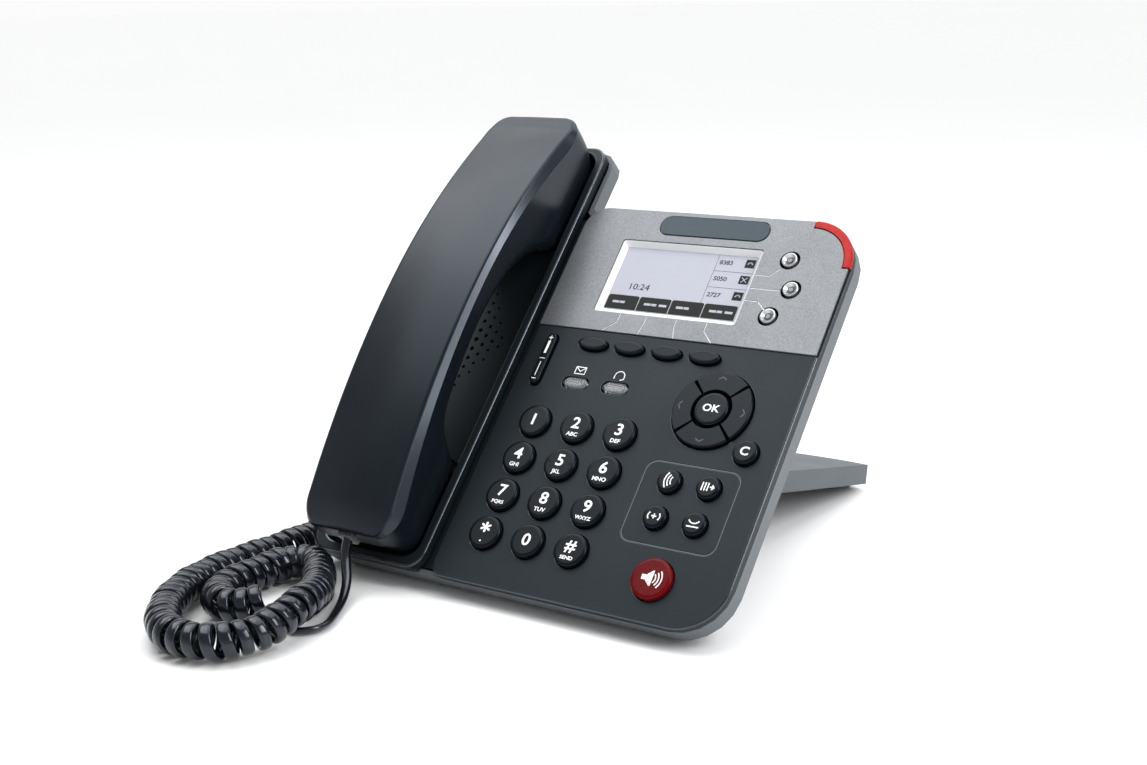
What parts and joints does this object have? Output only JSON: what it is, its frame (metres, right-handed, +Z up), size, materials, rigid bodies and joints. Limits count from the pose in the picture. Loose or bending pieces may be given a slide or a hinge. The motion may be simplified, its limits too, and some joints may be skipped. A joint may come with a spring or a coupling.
{
  "type": "desk ip phone",
  "caption": "Tilted desk telephone with a corded handset, round rubber keys, a recessed display, a navigation ring, line keys, a red message lamp and a hook-in rear stand",
  "frame": {"origin": "centre of the bounding box of everything but the cord, on the desk", "axes": "+X to the right of the person using the phone, +Y away from that person, +Z up"},
  "size_m": [0.2171, 0.3253, 0.178],
  "materials": {
    "housing": "dark charcoal plastic with a fine texture",
    "wall": "mid grey plastic, light texture",
    "silver": "silver speckled paint on plastic",
    "badge": "blank slate grey plate",
    "key": "near-black satin with white legends",
    "clear": "clear moulded plastic",
    "screen": "pale grey display",
    "red": "translucent red plastic",
    "board": "green circuit board and parts",
    "rubber": "dark matte rubber",
    "metal": "plain metal",
    "handset": "dark blue-grey satin plastic",
    "cord": "black flexible cord jacket"
  },
  "bodies": {
    "base": {"base_plug": "clear", "cord_coil": "cord", "cord_lead": "cord", "cord_tail": "cord", "cradle_tray": "housing", "faceplate": "silver", "foot_left": "rubber", "foot_right": "rubber", "front_cover": "housing", "headset_lens": "clear", "key_mat": "rubber", "lcd_panel": "screen", "lcd_window": "clear", "loudspeaker": "metal", "mail_lens": "clear", "main_board": "board", "message_lamp": "red", "name_badge": "badge", "port_block": "metal", "rear_housing": "wall"},
    "handset": {"handset_outer_shell": "handset", "handset_inner_shell": "handset", "earpiece": "metal", "handset_microphone": "metal", "handset_weight": "metal", "handset_plug": "clear"},
    "hook_switch_body": {"hook_switch": "key"},
    "stand_body": {"stand": "wall", "stand_pad": "rubber"},
    "volume_body": {"volume_rocker": "key"},
    "arrow_key_down_body": {"arrow_key_down": "key"},
    "arrow_key_left_body": {"arrow_key_left": "key"},
    "arrow_key_right_body": {"arrow_key_right": "key"},
    "arrow_key_up_body": {"arrow_key_up": "key"},
    "function_key_conference_body": {"function_key_conference": "key"},
    "function_key_hold_body": {"function_key_hold": "key"},
    "function_key_redial_body": {"function_key_redial": "key"},
    "function_key_transfer_body": {"function_key_transfer": "key"},
    "key_0_body": {"key_0": "key"},
    "key_1_body": {"key_1": "key"},
    "key_2_body": {"key_2": "key"},
    "key_3_body": {"key_3": "key"},
    "key_4_body": {"key_4": "key"},
    "key_5_body": {"key_5": "key"},
    "key_6_body": {"key_6": "key"},
    "key_7_body": {"key_7": "key"},
    "key_8_body": {"key_8": "key"},
    "key_9_body": {"key_9": "key"},
    "key_hash_body": {"key_hash": "key"},
    "key_star_body": {"key_star": "key"},
    "line_key_1_body": {"line_key_1": "clear"},
    "line_key_2_body": {"line_key_2": "clear"},
    "line_key_3_body": {"line_key_3": "clear"},
    "soft_key_1_body": {"soft_key_1": "key"},
    "soft_key_2_body": {"soft_key_2": "key"},
    "soft_key_3_body": {"soft_key_3": "key"},
    "soft_key_4_body": {"soft_key_4": "key"},
    "clear_key_body": {"clear_key": "key"},
    "ok_key_body": {"ok_key": "key"},
    "speaker_key_body": {"speaker_key": "red"}
  },
  "joints": [
    {"name": "press_arrow_key_down", "type": "slide", "parent": "base", "child": "arrow_key_down_body", "axis": [0, 0.7278, -0.6858], "range_m": [0, 0.0012], "stiffness_N_per_m": 300},
    {"name": "press_arrow_key_left", "type": "slide", "parent": "base", "child": "arrow_key_left_body", "axis": [0, 0.7278, -0.6858], "range_m": [0, 0.0012], "stiffness_N_per_m": 300},
    {"name": "press_arrow_key_right", "type": "slide", "parent": "base", "child": "arrow_key_right_body", "axis": [0, 0.7278, -0.6858], "range_m": [0, 0.0012], "stiffness_N_per_m": 300},
    {"name": "press_arrow_key_up", "type": "slide", "parent": "base", "child": "arrow_key_up_body", "axis": [0, 0.7278, -0.6858], "range_m": [0, 0.0012], "stiffness_N_per_m": 300},
    {"name": "press_function_key_conference", "type": "slide", "parent": "base", "child": "function_key_conference_body", "axis": [0, 0.7278, -0.6858], "range_m": [0, 0.0012], "stiffness_N_per_m": 300},
    {"name": "press_function_key_hold", "type": "slide", "parent": "base", "child": "function_key_hold_body", "axis": [0, 0.7278, -0.6858], "range_m": [0, 0.0012], "stiffness_N_per_m": 300},
    {"name": "press_function_key_redial", "type": "slide", "parent": "base", "child": "function_key_redial_body", "axis": [0, 0.7278, -0.6858], "range_m": [0, 0.0012], "stiffness_N_per_m": 300},
    {"name": "press_function_key_transfer", "type": "slide", "parent": "base", "child": "function_key_transfer_body", "axis": [0, 0.7278, -0.6858], "range_m": [0, 0.0012], "stiffness_N_per_m": 300},
    {"name": "press_key_0", "type": "slide", "parent": "base", "child": "key_0_body", "axis": [0, 0.7278, -0.6858], "range_m": [0, 0.0012], "stiffness_N_per_m": 300},
    {"name": "press_key_1", "type": "slide", "parent": "base", "child": "key_1_body", "axis": [0, 0.7278, -0.6858], "range_m": [0, 0.0012], "stiffness_N_per_m": 300},
    {"name": "press_key_2", "type": "slide", "parent": "base", "child": "key_2_body", "axis": [0, 0.7278, -0.6858], "range_m": [0, 0.0012], "stiffness_N_per_m": 300},
    {"name": "press_key_3", "type": "slide", "parent": "base", "child": "key_3_body", "axis": [0, 0.7278, -0.6858], "range_m": [0, 0.0012], "stiffness_N_per_m": 300},
    {"name": "press_key_4", "type": "slide", "parent": "base", "child": "key_4_body", "axis": [0, 0.7278, -0.6858], "range_m": [0, 0.0012], "stiffness_N_per_m": 300},
    {"name": "press_key_5", "type": "slide", "parent": "base", "child": "key_5_body", "axis": [0, 0.7278, -0.6858], "range_m": [0, 0.0012], "stiffness_N_per_m": 300},
    {"name": "press_key_6", "type": "slide", "parent": "base", "child": "key_6_body", "axis": [0, 0.7278, -0.6858], "range_m": [0, 0.0012], "stiffness_N_per_m": 300},
    {"name": "press_key_7", "type": "slide", "parent": "base", "child": "key_7_body", "axis": [0, 0.7278, -0.6858], "range_m": [0, 0.0012], "stiffness_N_per_m": 300},
    {"name": "press_key_8", "type": "slide", "parent": "base", "child": "key_8_body", "axis": [0, 0.7278, -0.6858], "range_m": [0, 0.0012], "stiffness_N_per_m": 300},
    {"name": "press_key_9", "type": "slide", "parent": "base", "child": "key_9_body", "axis": [0, 0.7278, -0.6858], "range_m": [0, 0.0012], "stiffness_N_per_m": 300},
    {"name": "press_key_hash", "type": "slide", "parent": "base", "child": "key_hash_body", "axis": [0, 0.7278, -0.6858], "range_m": [0, 0.0012], "stiffness_N_per_m": 300},
    {"name": "press_key_star", "type": "slide", "parent": "base", "child": "key_star_body", "axis": [0, 0.7278, -0.6858], "range_m": [0, 0.0012], "stiffness_N_per_m": 300},
    {"name": "press_line_key_1", "type": "slide", "parent": "base", "child": "line_key_1_body", "axis": [0, 0.7278, -0.6858], "range_m": [0, 0.0012], "stiffness_N_per_m": 300},
    {"name": "press_line_key_2", "type": "slide", "parent": "base", "child": "line_key_2_body", "axis": [0, 0.7278, -0.6858], "range_m": [0, 0.0012], "stiffness_N_per_m": 300},
    {"name": "press_line_key_3", "type": "slide", "parent": "base", "child": "line_key_3_body", "axis": [0, 0.7278, -0.6858], "range_m": [0, 0.0012], "stiffness_N_per_m": 300},
    {"name": "press_soft_key_1", "type": "slide", "parent": "base", "child": "soft_key_1_body", "axis": [0, 0.7278, -0.6858], "range_m": [0, 0.0012], "stiffness_N_per_m": 300},
    {"name": "press_soft_key_2", "type": "slide", "parent": "base", "child": "soft_key_2_body", "axis": [0, 0.7278, -0.6858], "range_m": [0, 0.0012], "stiffness_N_per_m": 300},
    {"name": "press_soft_key_3", "type": "slide", "parent": "base", "child": "soft_key_3_body", "axis": [0, 0.7278, -0.6858], "range_m": [0, 0.0012], "stiffness_N_per_m": 300},
    {"name": "press_soft_key_4", "type": "slide", "parent": "base", "child": "soft_key_4_body", "axis": [0, 0.7278, -0.6858], "range_m": [0, 0.0012], "stiffness_N_per_m": 300},
    {"name": "press_clear_key", "type": "slide", "parent": "base", "child": "clear_key_body", "axis": [0, 0.7278, -0.6858], "range_m": [0, 0.0012], "stiffness_N_per_m": 300},
    {"name": "press_ok_key", "type": "slide", "parent": "base", "child": "ok_key_body", "axis": [0, 0.7278, -0.6858], "range_m": [0, 0.0012], "stiffness_N_per_m": 300},
    {"name": "press_speaker_key", "type": "slide", "parent": "base", "child": "speaker_key_body", "axis": [0, 0.7278, -0.6858], "range_m": [0, 0.0012], "stiffness_N_per_m": 300},
    {"name": "volume_rock", "type": "hinge", "parent": "base", "child": "volume_body", "pos_m": [-0.02345, -0.03362, 0.08075], "axis": [1, 0, 0], "range_deg": [-2.5, 2.5], "stiffness_Nm_per_rad": 0.2},
    {"name": "handset_lift", "type": "slide", "parent": "base", "child": "handset", "axis": [0, -0.7278, 0.6858], "range_m": [0, 0.06]},
    {"name": "hook_switch_rise", "type": "slide", "parent": "base", "child": "hook_switch_body", "axis": [0, -0.7278, 0.6858], "range_m": [0, 0.004]},
    {"name": "stand_release", "type": "slide", "parent": "base", "child": "stand_body", "axis": [0, -0.6858, -0.7278], "range_m": [0, 0.008]}
  ],
  "couplings": [
    {"joint": "hook_switch_rise", "follows": "handset_lift", "ratio": 0.066667}
  ]
}
